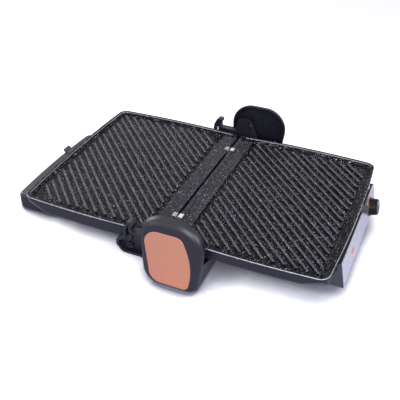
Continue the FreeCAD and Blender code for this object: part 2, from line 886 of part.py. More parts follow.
def screw_hole(x, y, low, depth):
    """Upright hole for a screw's shank."""
    return Part.makeCylinder(d.screw_radius + d.fit_clearance, depth, point(x, y, low))


def make_shell():
    top = rim - d.panel_top_drop
    shell = shell_prism(0, shell_floor, top)
    shell = shell.cut(shell_prism(d.shell_wall, shell_floor - d.overrun, top + d.overrun))
    seat = shell_floor + d.cover_thickness
    rib = d.boss_radius + d.shell_wall / 2
    for x, y in cover_screw_places():
        boss = Part.makeCylinder(d.boss_radius, d.boss_height, point(x, y, seat))
        web = Part.makeBox(d.shell_wall, rib * 2, d.boss_height, point(x - d.shell_wall / 2, y - rib, seat))
        shell = shell.fuse(boss.fuse(web)).cut(screw_hole(x, y, seat, d.screw_length))
    gland_start = point(hinge + d.gland_reach, shell_half - d.overrun, gland_height)
    gland_hole = Part.makeCylinder(d.gland_radius + d.fit_clearance, d.overrun * 2, gland_start, point(0, 1, 0))
    shell = shell.cut(gland_hole).cut(beyond_panel()).cut(base_tray_room(d.seat_clearance)).removeSplitter()
    node("base_shell", feature("base_shell", shell))


gland_roof = floor_height(d.base_hinge_depth, d.base_front_depth, d.gland_reach)
gland_height = (shell_floor + d.cover_thickness + gland_roof) / 2
VENT_COUNT = 6
VENT_SHARES = (0.45, 0.8)


def make_bottom_cover():
    """Plate inside the foot of the housing, with the reflector's posts."""
    gap = d.shell_wall + d.seat_clearance
    cover = shell_prism(gap, shell_floor, shell_floor + d.cover_thickness)
    behind = beyond_panel()
    behind.translate(panel_normal() * -float(d.panel_thickness + d.frame_thickness))
    cover = cover.cut(behind)
    for x, y in cover_screw_places():
        spot = point(x, y, shell_floor)
        sink = Part.makeCylinder(d.screw_head_radius + d.fit_clearance, d.cover_thickness / 2, spot)
        cover = cover.cut(screw_hole(x, y, shell_floor, d.cover_thickness)).cut(sink)
    for x, y in leg_screw_places():
        cover = cover.cut(screw_hole(x, y, shell_floor, d.cover_thickness))
    for index in range(VENT_COUNT):
        length = heater_lane * VENT_SHARES[1]
        x = hinge + heat_rear + (heat_front - heat_rear) * VENT_SHARES[0] + d.vent_pitch * index
        cover = cover.cut(Part.makeBox(d.vent_width, length, d.cover_thickness, point(x, -length / 2, shell_floor)))
    for x, y in post_places():
        height = reflector_top - d.reflector_sheet - shell_floor
        cover = cover.fuse(Part.makeCylinder(d.post_radius, height, point(x, y, shell_floor)))
    node("base_bottom_cover", feature("base_bottom_cover", cover.removeSplitter()))


def panel_normal():
    return FreeCAD.Vector(math.cos(panel_tilt), 0, math.sin(panel_tilt))


def leg_screw_places():
    return [(pad_reach(), leg_screw_place * sign) for sign in (-1, 1)]


def make_front():
    """Frame and steel panel in the housing's leaning front, with the knob and lens holes."""
    half_slant = panel_slant / 2

    def slab(half, low, high, thick, back):
        solid = Part.makeBox(half * 2, high - low, thick, point(-half, low, back))
        hole = Part.makeCylinder(d.shaft_radius + d.shaft_hole_clearance, thick, point(knob_place, 0, back))
        return solid.cut(hole).cut(lens_prism(d.fit_clearance, back, thick))

    panel = slab(panel_half, -half_slant, half_slant, d.panel_thickness, -d.panel_thickness)
    body = feature("control_panel", panel)
    body.Placement = panel_placement(0)
    node("control_panel", body)
    back = -(d.panel_thickness + d.frame_thickness)
    frame = slab(shell_half - d.shell_wall, -half_slant, half_slant, d.frame_thickness, back)
    frame.Placement = panel_placement(0)
    frame = frame.cut(base_tray_room(d.seat_clearance))
    under = Part.makeBox(rim * 4, rim * 4, rim, point(hinge, -rim * 2, shell_floor - rim))
    node("panel_frame", feature("panel_frame", frame.cut(under)))


def lens_prism(grow, back, thick):
    """Long round-ended prism of the pilot lens in the panel's frame."""
    radius = d.lens_width / 2 + grow
    run = d.lens_length / 2 - d.lens_width / 2
    left, right = -lens_place - run, -lens_place + run
    corners = [point(left, radius, back), point(right, radius, back),
               point(right, -radius, back), point(left, -radius, back)]
    edges = [
        Part.LineSegment(corners[0], corners[1]).toShape(),
        Part.Arc(corners[1], point(right + radius, 0, back), corners[2]).toShape(),
        Part.LineSegment(corners[2], corners[3]).toShape(),
        Part.Arc(corners[3], point(left - radius, 0, back), corners[0]).toShape(),
    ]
    return Part.Face(Part.Wire(edges)).extrude(point(0, 0, thick))


def make_controls():
    behind = d.panel_thickness + d.frame_thickness
    lens = lens_prism(0, -behind, behind + d.lens_proud)
    lens = lens.makeFillet(float(d.lens_proud * 0.6), level_edges(lens, d.lens_proud))
    node("indicator_lens", on_panel(feature("indicator_lens", lens), 0))

    lamp = turned("indicator_lamp", [
        (0, -behind - d.lamp_length),
        (d.lamp_radius, -behind - d.lamp_length),
        (d.lamp_radius, -behind - d.lamp_radius),
        (d.lamp_radius / 2, -behind),
        (0, -behind),
    ])
    node("indicator_lamp", on_panel(lamp, -lens_place))

    edges = (d.thermostat_width, d.thermostat_height, d.thermostat_depth)
    case = block("thermostat_case", (-edges[0] / 2, -edges[1] / 2, -behind - edges[2]), edges)
    bore_start = (0, 0, -behind - d.thermostat_bore)
    bore = rod("thermostat_bore", bore_start, "z", d.shaft_radius + d.bore_clearance, d.thermostat_bore)
    node("thermostat", on_panel(cut("thermostat", case, [bore]), knob_place))

    ring = rod("bezel_ring", (0, 0, 0), "z", d.knob_radius + d.bezel_margin, d.bezel_thickness)
    hole = rod("bezel_hole", (0, 0, 0), "z", d.knob_radius + d.bezel_margin - d.bezel_width,
               d.bezel_thickness)
    node("knob_bezel", on_panel(cut("knob_bezel", ring, [hole]), knob_place))

    tip = d.knob_depth
    knob = turned("knob", [
        (d.shaft_radius + d.fit_clearance, d.knob_standoff),
        (d.knob_radius, d.knob_standoff),
        (d.knob_radius - d.knob_round / 2, tip - d.knob_round),
        (d.knob_radius - d.knob_round, tip),
        (0, tip),
        (0, d.knob_standoff + d.knob_socket),
        (d.shaft_radius + d.fit_clearance, d.knob_standoff + d.knob_socket),
    ])
    node("knob", on_panel(knob, knob_place))
    pointer = block("knob_pointer", (-d.pointer_width / 2, d.knob_radius / 4, tip),
                    (d.pointer_width, d.knob_radius / 2, d.pointer_depth / 2))
    node("knob_pointer", on_panel(pointer, knob_place))
    low = -behind - d.thermostat_bore + d.seat_clearance
    high = d.knob_standoff + d.knob_socket
    shaft = rod("thermostat_shaft", (0, 0, low), "z", d.shaft_radius, high - low)
    node("thermostat_shaft", on_panel(shaft, knob_place))


def on_panel(obj, place_y):
    """Carry a piece drawn in the panel's frame to its place across the panel."""
    doc.recompute()
    frame = panel_placement(place_y)
    obj.Placement = frame.multiply(obj.Placement)
    for prop, expression in obj.ExpressionEngine:
        if "Placement" in prop:
            obj.setExpression(prop, None)
    return obj


def make_supply():
    """Terminals on the bottom cover and the lead's grommet in the far side wall."""
    floor = shell_floor + d.cover_thickness
    rear = hinge + d.shell_rear + d.terminal_setback
    corner = (rear, heater_lane / 2 - d.terminal_width / 2, floor)
    case = block("terminal_case", corner, (d.terminal_length, d.terminal_width, d.terminal_height))
    holes = []
    for index in range(3):
        x = corner[0] + d.terminal_length * (index + 0.5) / 3
        holes.append(rod(f"terminal_hole_{index}", (x, corner[1], floor + d.terminal_height / 2), "y",
                         d.terminal_hole, d.terminal_width))
    node("terminal_block", cut("terminal_block", case, holes))

    sleeve_length = d.shell_wall + d.gland_tail
    start = (hinge + d.gland_reach, shell_half - sleeve_length, gland_height)
    sleeve = rod("gland_sleeve", start, "y", d.gland_radius, sleeve_length)
    head_start = (hinge + d.gland_reach, shell_half, gland_height)
    head = rod("gland_head", head_start, "y", d.gland_flange, d.gland_flange_thickness)
    bore = rod("gland_bore", start, "y", d.gland_bore, sleeve_length + d.gland_flange_thickness)
    node("cord_gland", cut("cord_gland", join("gland_body", [sleeve, head]), [bore]))


# Hinge covers
def cap_face_at(inset, y):
    """Side outline of a hinge cover, drawn in by inset."""
    top = rim + d.cap_top - inset
    low = rim - d.cap_bottom + inset
    return rounded_face([
        (point(hinge - d.cap_rear_top + inset, y, top), d.cap_rear_top_radius - inset),
        (point(hinge + d.cap_front_top - inset, y, top), d.cap_front_top_radius - inset),
        (point(hinge + d.cap_front_bottom - inset, y, low), d.cap_front_bottom_radius - inset),
        (point(hinge - d.cap_rear_bottom + inset, y, low), d.cap_rear_bottom_radius - inset),
    ])


def edges_at_side(shape, y):
    """Edges that lie in one plane across Y."""
    near = float(d.fit_clearance)
    return [e for e in shape.Edges if all(abs(v.Y - float(y)) < near for v in e.Vertexes)
            and abs(e.CenterOfMass.y - float(y)) < near]


def cap_solid(inset, inner, outer, rounding):
    """Side cover with a soft edge round its outer face."""
    solid = cap_face_at(inset, inner).extrude(point(0, outer - inner, 0))
    return solid.makeFillet(float(rounding), edges_at_side(solid, outer))


def leg_solid(inset, inner, outer, low, high):
    """Straight leg that runs under the housing, drawn in by inset."""
    length = d.cap_front_bottom + d.leg_rear - inset * 2
    return Part.makeBox(length, outer - inner, high - low, point(hinge - d.leg_rear + inset, inner, low))


def badge_face(grow, y):
    """Rounded outline of the copper inlay, with a bulging front side."""
    top = rim + d.badge_top + grow
    low = rim - d.badge_bottom - grow
    return rounded_face([
        (point(hinge - d.badge_rear_top - grow, y, top), d.badge_rear_radius),
        (point(hinge + d.badge_front_top + grow, y, top), d.badge_top_radius),
        (point(hinge + d.badge_bulge + grow, y, rim - d.badge_bulge_drop), d.badge_bulge_radius),
        (point(hinge + d.badge_front_bottom + grow, y, low), d.badge_tight_radius),
        (point(hinge - d.badge_rear_bottom - grow, y, low), d.badge_wide_radius),
    ])


# Screws along the bracket, and the cover's inner pillar, fins and hook as shares of its reach, rise and drop
CAP_SCREW_SHARES = (0.35, 0.75)
PILLAR_SHARES = (0.24, 0.48)
FIN_SHARES = (0.33, 0.49, 0.87)
FIN_DROP_SHARES = (0.85, 0.1)
HOOK_SHARES = [(0.43, 0.375), (0.43, 0.33), (0.53, 0.295), (0.615, 0.415), (0.615, 0.465), (0.525, 0.345)]


def bracket_low():
    """Underside of the bracket's foot."""
    return shell_floor - d.leg_wall - d.bracket_sheet


def cap_screw_places():
    """Spots of a cover's screws on the bracket's middle line."""
    run = pad_reach() - hinge
    fall = axis_height - bracket_low()
    return [(hinge + run * share, axis_height - fall * share) for share in CAP_SCREW_SHARES]


def cap_inner_details(back):
    """Pillar, fins and hook moulded to the inner face of a cover."""
    along = point(0, 1, 0)
    root = back + d.cap_face_wall / 2
    start = bracket_outer + d.seat_clearance

    def spot(share, y):
        return point(hinge + d.cap_front_top * share[0], y, rim + d.cap_top * share[1])

    details = [Part.makeCylinder(d.pillar_radius, root - start, spot(PILLAR_SHARES, start), along)]
    low, high = (rim - d.cap_bottom * share for share in FIN_DROP_SHARES)
    for share in FIN_SHARES:
        corner = point(hinge + d.cap_front_bottom * share - d.fin_thickness / 2, start, low)
        details.append(Part.makeBox(d.fin_thickness, root - start, high - low, corner))
    outline = Part.makePolygon([spot(share, start) for share in HOOK_SHARES + HOOK_SHARES[:1]])
    details.append(Part.Face(outline).extrude(along * float(root - start)))
    return details


def cap_gusset():
    """Leaning web that carries the cover's front wall down and inwards to the leg."""
    lean = (d.cap_front_top - d.cap_front_bottom) / (d.cap_top + d.cap_bottom)
    root = shell_floor - d.leg_wall

    def corner(y, z):
        return point(hinge + d.cap_front_bottom + (z - shell_floor) * lean, y, z)

    outer = cap_inner + d.cap_wall
    inner = cap_inner - d.gusset_length
    top = rim - d.gusset_drop
    outline = [corner(outer, top), corner(arm_inner, top), corner(inner, shell_floor), corner(inner, root),
               corner(outer, root)]
    return Part.Face(Part.makePolygon(outline + outline[:1])).extrude(point(-d.leg_wall, 0, 0))


def far_cap():
    """Hinge cover, open inwards, with the leg moulded to its foot."""
    low = rim - d.cap_bottom
    along = point(0, 1, 0)
    back = cap_face - d.cap_face_wall
    body = cap_solid(0, cap_inner, cap_face, d.cap_round)
    hollow = cap_solid(d.cap_wall, cap_inner - d.fit_clearance, back, d.cap_round - d.cap_wall)
    leg = leg_solid(0, leg_inner, cap_inner + d.cap_wall, low, shell_floor)
    leg = leg.makeFillet(float(d.leg_round), level_edges(leg, low))
    leg_hollow = leg_solid(d.leg_wall, leg_inner + d.leg_wall, cap_face - d.cap_round,
                           low - d.overrun, shell_floor - d.leg_wall)
    cap = body.fuse(leg).cut(hollow).cut(leg_hollow).fuse(cap_gusset())
    cap = cap.multiFuse(cap_inner_details(back))
    for x, z in cap_screw_places():
        boss = Part.makeCylinder(d.cap_boss_radius, back - bracket_outer, point(x, bracket_outer, z), along)
        hole = Part.makeCylinder(d.screw_radius + d.fit_clearance, d.screw_length - d.bracket_sheet,
                                 point(x, bracket_outer, z), along)
        cap = cap.fuse(boss).cut(hole)
    boss_low = low + d.pad_thickness / 2
    cap = cap.fuse(Part.makeCylinder(d.leg_boss_radius, shell_floor - boss_low,
                                     point(pad_reach(), leg_pad_place, boss_low)))
    cap = cap.cut(screw_hole(pad_reach(), leg_screw_place, low, d.cap_bottom))
    seat = badge_face(d.fit_clearance, cap_face - d.badge_depth).extrude(along * float(d.overrun))
    return cap.cut(seat).removeSplitter()


def pad_reach():
    """Middle of the leg along X."""
    return hinge + (d.cap_front_bottom - d.leg_rear) / 2


def make_caps():
    pair("hinge_cap", feature("far_hinge_cap", far_cap()))
    inlay = badge_face(0, cap_face - d.badge_depth)
    badge = inlay.extrude(point(0, d.badge_depth + d.badge_proud, 0))
    badge = badge.makeFillet(float(d.badge_proud * 0.6), edges_at_side(badge, cap_face + d.badge_proud))
    pair("badge", feature("far_badge", badge))


# Hinge brackets, pins and bushes
def far_bracket():
    """Bent sheet: a foot inside the leg and an upright that carries the pin."""
    half = d.bracket_width / 2
    centre = pad_reach()
    low = bracket_low()
    upright = rounded_face([
        (point(centre - half, bracket_inner, low), 0),
        (point(centre + half, bracket_inner, low), 0),
        (point(hinge + d.bracket_head_radius, bracket_inner, axis_height), 0),
        (point(hinge - d.bracket_head_radius, bracket_inner, axis_height), 0),
    ]).extrude(point(0, d.bracket_sheet, 0))
    along = point(0, 1, 0)
    eye = point(hinge, bracket_inner, axis_height)
    head = Part.makeCylinder(d.bracket_head_radius, d.bracket_sheet, eye, along)
    foot_start = leg_inner + d.leg_wall + d.seat_clearance
    foot = Part.makeBox(d.bracket_width, bracket_outer - foot_start, d.bracket_sheet,
                        point(centre - half, foot_start, low))
    bracket = upright.fuse(head).fuse(foot)
    bracket = bracket.cut(Part.makeCylinder(d.pin_radius + d.fit_clearance, d.bracket_sheet, eye, along))
    for x, z in cap_screw_places():
        spot = point(x, bracket_inner, z)
        bracket = bracket.cut(Part.makeCylinder(d.screw_radius + d.fit_clearance, d.bracket_sheet, spot, along))
    bracket = bracket.cut(screw_hole(centre, leg_screw_place, low, d.bracket_sheet))
    boss_gap = Part.makeCylinder(d.leg_boss_radius + d.seat_clearance, d.cap_bottom,
                                 point(centre, leg_pad_place, low - d.overrun))
    return bracket.cut(boss_gap).removeSplitter()


def make_hinges():
    pair("hinge_bracket", feature("far_hinge_bracket", far_bracket()))
    hub = arm_inner + d.arm_web
    tip = hub + d.seat_clearance
    stem_length = bracket_outer + d.pin_head_thickness - tip
    stem = rod("pin_stem", (hinge, tip, axis_height), "y", d.pin_radius, stem_length)
    head = rod("pin_head", (hinge, bracket_outer, axis_height), "y", d.pin_head_radius, d.pin_head_thickness)
    pair("hinge_pin", join("far_hinge_pin", [head, stem]))
    sleeve = rod("bush_sleeve", (hinge, hub, axis_height), "y", d.bush_radius, arm_outer - hub)
    flange_thickness = bracket_inner - arm_outer - d.seat_clearance
    flange = rod("bush_flange", (hinge, arm_outer, axis_height), "y", d.bush_flange_radius, flange_thickness)
    bore = rod("bush_bore", (hinge, hub, axis_height), "y", d.pin_radius + d.bore_clearance,
               arm_outer - hub + flange_thickness)
    pair("hinge_bush", cut("far_hinge_bush", join("bush_body", [sleeve, flange]), [bore]))


# Arms with their slots
def arm_face(y):
    return rounded_face([
        (point(hinge + d.arm_reach * along, y, rim + d.arm_drop * up), d.arm_round * bend)
        for along, up, bend in ARM_OUTLINE_SHARES
    ])


def far_arm():
    along = point(0, 1, 0)
    face = arm_face(arm_inner)
    arm = face.extrude(point(0, d.arm_depth, 0))
    inner = arm_face(arm_inner + d.arm_web).makeOffset2D(-float(d.arm_wall))
    arm = arm.cut(inner.extrude(point(0, d.arm_depth, 0)))
    eye = point(hinge, arm_inner, axis_height)
    arm = arm.fuse(Part.makeCylinder(d.bush_radius + d.hub_wall, d.arm_depth, eye, along))
    seat = eye + along * float(d.arm_web)
    arm = arm.cut(Part.makeCylinder(d.bush_radius + d.fit_clearance, d.arm_depth, seat, along))
    ring_spot = point(hinge - d.slot_reach, arm_inner + d.arm_web, rim - d.slot_drop - d.ring_radius * 2)
    arm = arm.fuse(Part.makeCylinder(d.ring_radius, d.ring_height, ring_spot, along))
    arm = arm.cut(Part.makeCylinder(d.ring_bore, d.ring_height, ring_spot, along))
    slot_height = d.slider_height + d.float_travel + d.slide_clearance * 2
    slot = Part.makeBox(d.slot_width, d.arm_depth, slot_height,
                        point(hinge - d.slot_reach - d.slot_width / 2, arm_inner, rim - d.slot_drop))
    head_half = d.slot_width / 2 + d.slider_head
    head_room = Part.makeBox(head_half * 2, d.slider_head_thickness + d.seat_clearance * 2, slot_height,
                             point(hinge - d.slot_reach - head_half, arm_inner + d.arm_web, rim - d.slot_drop))
    return arm.cut(slot).cut(head_room).removeSplitter()


def far_slider():
    """Flat-sided pin of the lid that slides in the arm's slot, with a collar and a head."""
    width = d.slot_width - d.slide_clearance * 2
    low = rim - d.slot_drop + d.slide_clearance
    root = plate_half - d.tray_inset - d.tray_wall
    x = hinge - d.slot_reach
    head_start = arm_inner + d.arm_web + d.seat_clearance
    stem_length = head_start + d.slider_head_thickness - root
    stem = Part.makeBox(width, stem_length, d.slider_height, point(x - width / 2, root, low))
    wide = width + d.slider_head * 2
    head = Part.makeBox(wide, d.slider_head_thickness, d.slider_height, point(x - wide / 2, head_start, low))
    collar_length = arm_inner - d.seat_clearance - root
    collar = Part.makeBox(wide, collar_length, d.slider_height, point(x - wide / 2, root, low))
    wall = plan_prism(d.tray_inset, rim - d.lid_hinge_depth, rim).mirror(point(hinge, 0, 0), point(1, 0, 0))
    slider = stem.fuse(head).fuse(collar).cut(wall)
    return max(slider.removeSplitter().Solids, key=lambda solid: solid.Volume)


def make_arms():
    pair("arm", feature("far_arm", far_arm()))
    pair("float_pin", feature("far_float_pin", far_slider()))


# Lid cover and handle, drawn on the base side and mirrored
def cover_loft(inset, drop):
    """Sloping dome under the lid tray down to its flat crown."""
    wide = d.lid_cover_inset + inset
    rings = []
    for drawn_in, height in ((wide, rim - d.lid_front_depth), (wide + d.lid_cover_slope, rim - drop)):
        ring = rectangle(hinge + d.half_gap + drawn_in, hinge + front_edge - drawn_in,
                         d.plate_width / 2 - drawn_in, height, d.lid_cover_corner - inset)
        rings.append(ring.OuterWire)
    loft = Part.makeLoft(rings, True, True)
    return loft.makeFillet(float(d.lid_cover_round - inset), level_edges(loft, rim - drop))


def lid_cover_shape():
    under = below_floor(d.lid_hinge_depth, d.lid_front_depth, 0)
    inner_drop = d.lid_cover_drop - d.lid_cover_wall
    cover = cover_loft(0, d.lid_cover_drop).cut(cover_loft(d.lid_cover_wall, inner_drop)).common(under)
    post_low = rim - inner_drop - d.lid_cover_wall / 2
    for x, y in post_places():
        height = reflector_top - d.reflector_sheet - post_low
        cover = cover.fuse(Part.makeCylinder(d.post_radius, height, point(x, y, post_low)))
    return cover.removeSplitter()


def handle_shape():
    top = rim - d.handle_top_drop
    low = rim - d.handle_bottom_drop
    profile = Part.makePolygon([
        point(hinge + handle_root, -handle_half, top),
        point(hinge + handle_reach, -handle_half, top),
        point(hinge + handle_reach, -handle_half, low),
        point(hinge + handle_root + d.handle_root_slope, -handle_half, low),
        point(hinge + handle_root, -handle_half, rim - d.lid_cover_drop),
        point(hinge + handle_root, -handle_half, top),
    ])
    bar = Part.Face(profile).extrude(point(0, handle_half * 2, 0))
    bar = bar.common(handle_plan(0, d.handle_corner, low, top))
    front = [e for e in level_edges(bar, low) + level_edges(bar, top)
             if e.CenterOfMass.x > float(hinge + handle_root + d.handle_root_slope + d.overrun)]
    bar = bar.makeFillet(float(d.handle_round), front)
    bar = bar.cut(grip_hollow(d.trim_margin, low - d.overrun, low + d.trim_thickness))
    bar = bar.cut(grip_hollow(d.trim_margin + d.trim_ledge, low, top - d.handle_wall))
    bar = bar.cut(cover_loft(0, d.lid_cover_drop))
    return max(bar.removeSplitter().Solids, key=lambda solid: solid.Volume)


def handle_plan(inset, corner, low, high):
    """Handle seen from above: bowed grip with round ends."""
    root = hinge + handle_root - d.overrun
    reach = hinge + handle_reach - inset
    half = handle_half - inset
    ends = [point(reach - d.handle_bow, -half, low), point(reach - d.handle_bow, half, low)]
    edges = [
        Part.LineSegment(point(root, -half, low), ends[0]).toShape(),
        Part.Arc(ends[0], point(reach, 0, low), ends[1]).toShape(),
        Part.LineSegment(ends[1], point(root, half, low)).toShape(),
        Part.LineSegment(point(root, half, low), point(root, -half, low)).toShape(),
    ]
    grip = Part.Face(Part.Wire(edges)).extrude(point(0, 0, high - low))
    corners = [edge for edge in upright_edges(grip) if edge.CenterOfMass.x > float(hinge + trim_inner_reach)]
    return grip.makeFillet(float(corner), corners)


def grip_hollow(inset, low, high):
    """Space inside the grip, drawn in from its sides and from the trim's inner edge."""
    plan = handle_plan(inset, d.handle_corner / 4, low, high)
    corner = point(hinge + trim_inner_reach - d.trim_margin + inset, -handle_half, low)
    return plan.common(Part.makeBox(handle_reach, handle_half * 2, rim, corner))


def make_lid():
    low = rim - d.handle_bottom_drop
    shapes = {
        "lid_cover": lid_cover_shape(),
        "handle": handle_shape(),
        "handle_trim": grip_hollow(d.trim_margin + d.fit_clearance, low, low + d.trim_thickness),
    }
    for kind, shape in shapes.items():
        node(kind, mirrored(kind, feature(kind + "_form", shape), "x"))
    pads = []
    inner = handle_root + d.handle_root_slope
    radius = (trim_inner_reach - inner) / 3
    for sign in (-1, 1):
        spot = (hinge - (inner + trim_inner_reach) / 2, (handle_half - d.lid_pad_inset) * sign, 0)
        pads.append(rod(f"lid_pad_{sign + 1}", spot, "z", radius, low))
    node("lid_foot_pads", group("lid_foot_pads", pads))


# Release tabs of the plates
def latch(name, place_y, reach, run, rise):
    """Sliding tab: its inner end stands in the plate's groove, its outer end turns up for a finger."""
    top = rim - d.flange_thickness - d.seat_clearance
    low = top - d.latch_thickness
    inner = hinge + latch_end(place_y)
    outer = hinge + reach
    profile = [
        (inner, low),
        (outer - run, low),
        (outer, top + rise - d.latch_edge),
        (outer - d.latch_edge, top + rise),
        (outer - run - d.latch_edge, top),
        (inner, top),
    ]
    return padded(name, "XZ_Plane", profile, d.latch_width, place_y + d.latch_width / 2)


def make_latches():
    base = latch("base_latch", d.base_latch_place, plate_front + d.base_latch_overhang, d.base_latch_run,
                 d.base_latch_rise)
    node("base_latch", base)
    form = latch("lid_latch_form", d.lid_latch_place, plate_front + d.lid_latch_overhang, d.lid_latch_run,
                 d.lid_latch_rise)
    node("lid_latch", mirrored("lid_latch", form, "x"))


# Feet and fasteners
def make_feet():
    feet = []
    pads = []
    for sign in (-1, 1):
        x, y = hinge + panel_top_reach - d.foot_setback, (shell_half - d.foot_inset) * sign
        height = shell_floor - d.pad_thickness
        feet.append(cone(f"foot_{sign + 1}", (x, y, d.pad_thickness), d.foot_tip_radius, d.foot_radius, height))
        pads.append(rod(f"front_pad_{sign + 1}", (x, y, 0), "z", d.pad_radius, d.pad_thickness))
        leg_low = rim - d.cap_bottom + d.pad_thickness / 2
        leg_spot = (pad_reach(), leg_pad_place * sign, 0)
        pads.append(rod(f"leg_pad_{sign + 1}", leg_spot, "z", d.pad_radius, leg_low))
    node("front_feet", group("front_feet", feet))
    node("foot_pads", group("foot_pads", pads))


def screw(name, spot, axis, length):
    """Screw whose cross-recessed head starts at a spot and whose shank runs on along a positive axis."""
    head = rod(name + "_head", spot, axis, d.screw_head_radius, d.screw_head_thickness)
    body = join(name + "_body", [head, rod(name + "_shank", spot, axis, d.screw_radius, length)])
    blades = []
    for number, (long, short) in enumerate(((0, 1), (1, 0))):
        edges = [d.recess_depth] * 3
        across = [index for index, letter in enumerate("xyz") if letter != axis]
        edges[across[long]] = d.recess_length
        edges[across[short]] = d.recess_width
        corner = [spot[index] - edges[index] / 2 if index in across else spot[index] for index in range(3)]
        blades.append(block(f"{name}_blade_{number}", corner, edges))
    return cut(name, body, blades)


def make_screws():
    sink = shell_floor + d.cover_thickness / 2 - d.screw_head_thickness
    cover = [screw(f"cover_screw_{index}", (x, y, sink), "z", d.screw_length)
             for index, (x, y) in enumerate(cover_screw_places())]
    node("cover_screws", group("cover_screws", cover))
    under = bracket_low() - d.screw_head_thickness
    leg = [screw(f"leg_screw_{index}", (x, y, under), "z", d.leg_screw_length)
           for index, (x, y) in enumerate(leg_screw_places())]
    node("leg_screws", group("leg_screws", leg))
    cap = []
    for index, (x, z) in enumerate(cap_screw_places()):
        spot = (x, bracket_inner - d.screw_head_thickness, z)
        far = screw(f"far_cap_screw_{index}", spot, "y", d.screw_length)
        cap.extend([far, mirrored(f"near_cap_screw_{index}", far, "y")])
    node("cap_screws", group("cap_screws", cap))


def check_document():
    """Stop on any failed object or broken shape."""
    doc.recompute()
    for obj in doc.Objects:
        if "Invalid" in obj.State or "Error" in obj.State:
            raise RuntimeError(f"{obj.Name} failed: {obj.State}")
    for name, obj in nodes.items():
        if obj.Shape.isNull() or not obj.Shape.isValid() or not obj.Shape.Solids:
            raise RuntimeError(f"{name} has no sound solid")


def write_parts():
    os.makedirs("parts", exist_ok=True)
    for name, obj in nodes.items():
        obj.Shape.exportStep(f"parts/{name}.step")
    print(len(nodes), "nodes written")


make_plates()
make_trays()
make_heating()
make_clips()
make_shell()
make_bottom_cover()
make_front()
make_controls()
make_supply()
make_caps()
make_hinges()
make_arms()
make_lid()
make_latches()
make_feet()
make_screws()
check_document()
write_parts()
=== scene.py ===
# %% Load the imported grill
import bpy
import math
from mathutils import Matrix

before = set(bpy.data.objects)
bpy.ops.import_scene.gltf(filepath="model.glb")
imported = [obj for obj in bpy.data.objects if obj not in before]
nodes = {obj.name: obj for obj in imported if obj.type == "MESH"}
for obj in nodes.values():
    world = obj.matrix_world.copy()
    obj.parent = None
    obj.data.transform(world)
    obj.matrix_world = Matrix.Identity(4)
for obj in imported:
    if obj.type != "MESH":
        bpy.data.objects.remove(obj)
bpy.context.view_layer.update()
print("nodes loaded:", len(nodes))

# %% [markdown]
# The grill stands open and flat, seen from the front corner of its base, a little above. A camera can be
# placed by eye, but here it was worked out from the straight edges of the cooking plates, so that
# every piece lands where the photograph shows it. A 36 mm sensor keeps the lens easy to read.

# %% Camera at the photograph's viewing angle
CAMERA_PLACE = (0.3267, -0.7271, 0.5936)
CAMERA_TURN = (math.radians(54.42), 0.0, math.radians(23.87))
CAMERA_LENS = 57.08
SENSOR_WIDTH = 36.0

camera_data = bpy.data.cameras.new("grill_camera")
camera_data.sensor_width = SENSOR_WIDTH
camera_data.lens = CAMERA_LENS
camera = bpy.data.objects.new("grill_camera", camera_data)
camera.location = CAMERA_PLACE
camera.rotation_euler = CAMERA_TURN
bpy.context.scene.collection.objects.link(camera)
bpy.context.scene.camera = camera
bpy.context.scene.view_settings.view_transform = "Standard"
print("camera lens:", CAMERA_LENS)

# %% [markdown]
# Small appliances are photographed on white under soft boxes. The wide box near the camera is the key and
# draws the highlight on the round hinge covers, and the one at the left rakes over the ridges. Weak boxes
# above, at the front left and at the right fill in. Together they light a white sheet to about white.

# %% Soft boxes
GRILL_MIDDLE = (0.0, 0.0, 0.06)
LAMP_WHITE = (0.95, 0.95, 1.0)
# Each box: name, place, side in metres, power in watts
SOFT_BOXES = (
    ("left_box", (-1.45, 0.4, 0.7), 0.8, 13.5),
    ("camera_box", (0.65, -1.35, 1.0), 1.1, 26.0),
    ("overhead_box", (-0.1, -0.3, 1.7), 0.9, 2.0),
    ("front_box", (-1.2, -1.2, 0.6), 0.7, 4.5),
    ("right_box", (1.5, -0.5, 0.6), 0.8, 13.0),
)


def soft_box(name, place, size, power):
    """A square area lamp that looks at the middle of the grill."""
    lamp_data = bpy.data.lights.new(name, "AREA")
    lamp_data.shape = "SQUARE"
    lamp_data.size = size
    lamp_data.energy = power
    lamp_data.color = LAMP_WHITE
    lamp = bpy.data.objects.new(name, lamp_data)
    lamp.location = place
    aim = [GRILL_MIDDLE[axis] - place[axis] for axis in range(3)]
    flat = math.hypot(aim[0], aim[1])
    lamp.rotation_euler = (math.atan2(flat, -aim[2]), 0.0, math.atan2(aim[1], aim[0]) - math.pi / 2)
    bpy.context.scene.collection.objects.link(lamp)


for box in SOFT_BOXES:
    soft_box(*box)
print("soft boxes:", len(SOFT_BOXES))

# %% [markdown]
# Materials, the floor and the room are all node trees. Nodes could be placed by hand in the editor, but
# most steps repeat: noise, a remap, a sum of two values, a blend of two colours. A small helper for each
# keeps the recipes below short.

# %% Node helpers
def add(tree, kind, **values):
    """A node with its settings and its unlinked inputs filled in."""
    node = tree.nodes.new(kind)
    for key, value in values.items():
        if hasattr(node, key):
            setattr(node, key, value)
        else:
            node.inputs[key.replace("_", " ").title()].default_value = value
    return node


def noise(tree, vector, scale, detail):
    """Noise of a scale and detail at a vector."""
    node = add(tree, "ShaderNodeTexNoise", scale=scale, detail=detail, roughness=0.5)
    tree.links.new(vector, node.inputs["Vector"])
    return node.outputs["Fac"]


def remap(tree, value, low, high, new_low, new_high):
    """Clamped linear remap of a value."""
    node = tree.nodes.new("ShaderNodeMapRange")
    for label, number in (("From Min", low), ("From Max", high), ("To Min", new_low), ("To Max", new_high)):
        node.inputs[label].default_value = number
    tree.links.new(value, node.inputs["Value"])
    return node.outputs["Result"]


